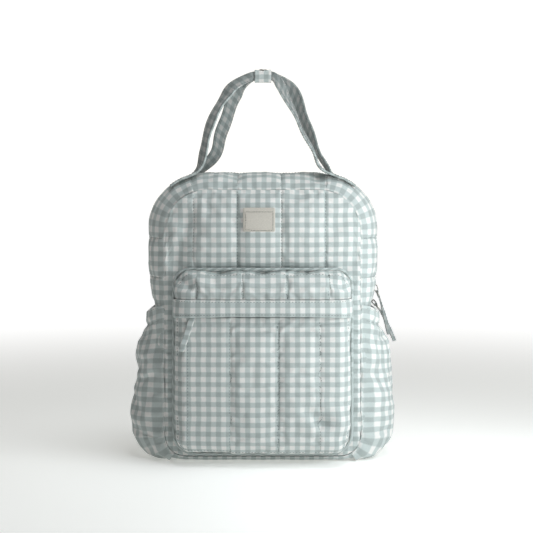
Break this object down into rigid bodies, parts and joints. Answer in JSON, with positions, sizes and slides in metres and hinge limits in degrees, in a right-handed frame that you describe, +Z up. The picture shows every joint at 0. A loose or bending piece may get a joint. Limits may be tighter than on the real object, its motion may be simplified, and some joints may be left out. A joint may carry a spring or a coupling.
{
  "type": "quilted puffer backpack",
  "caption": "Padded, quilted fabric backpack with a front zip pocket, gathered side pockets, tote handles joined by a grip and padded shoulder straps.",
  "frame": {"origin": "middle of the base that it stands on", "axes": "+Z up, front pocket towards -Y, +X to the viewer's right when seen from the front"},
  "size_m": [0.3654, 0.2186, 0.5304],
  "materials": {
    "quilted_fabric": "woven gingham cotton over soft padding, matt with a faint sheen",
    "strap_fabric": "folded and topstitched gingham cotton, matt",
    "zip_tape": "ribbed woven tape with moulded teeth",
    "label_cloth": "plain woven label, beige",
    "dark_metal": "darkened, worn bright on the edges",
    "webbing": "ribbed woven webbing"
  },
  "bodies": {
    "root": {"front_panel": "quilted_fabric", "back_panel": "quilted_fabric", "gusset_top_front": "quilted_fabric", "gusset_top_back": "quilted_fabric", "main_zip": "zip_tape", "gusset_bottom": "quilted_fabric", "front_pocket_panel": "quilted_fabric", "front_pocket_band": "quilted_fabric", "front_pocket_placket": "quilted_fabric", "front_pocket_zip": "zip_tape", "front_pocket_pull": "strap_fabric", "side_pocket_left": "quilted_fabric", "side_pocket_right": "quilted_fabric", "handle_front": "strap_fabric", "handle_back": "strap_fabric", "handle_grip": "strap_fabric", "label": "label_cloth", "zip_slider_upper": "dark_metal", "zip_slider_lower": "dark_metal", "zip_ring_upper": "dark_metal", "zip_ring_lower": "dark_metal", "zip_pull_upper": "strap_fabric", "zip_pull_lower": "strap_fabric", "shoulder_strap_left": "quilted_fabric", "shoulder_strap_right": "quilted_fabric", "webbing_left": "webbing", "webbing_right": "webbing"}
  },
  "joints": []
}
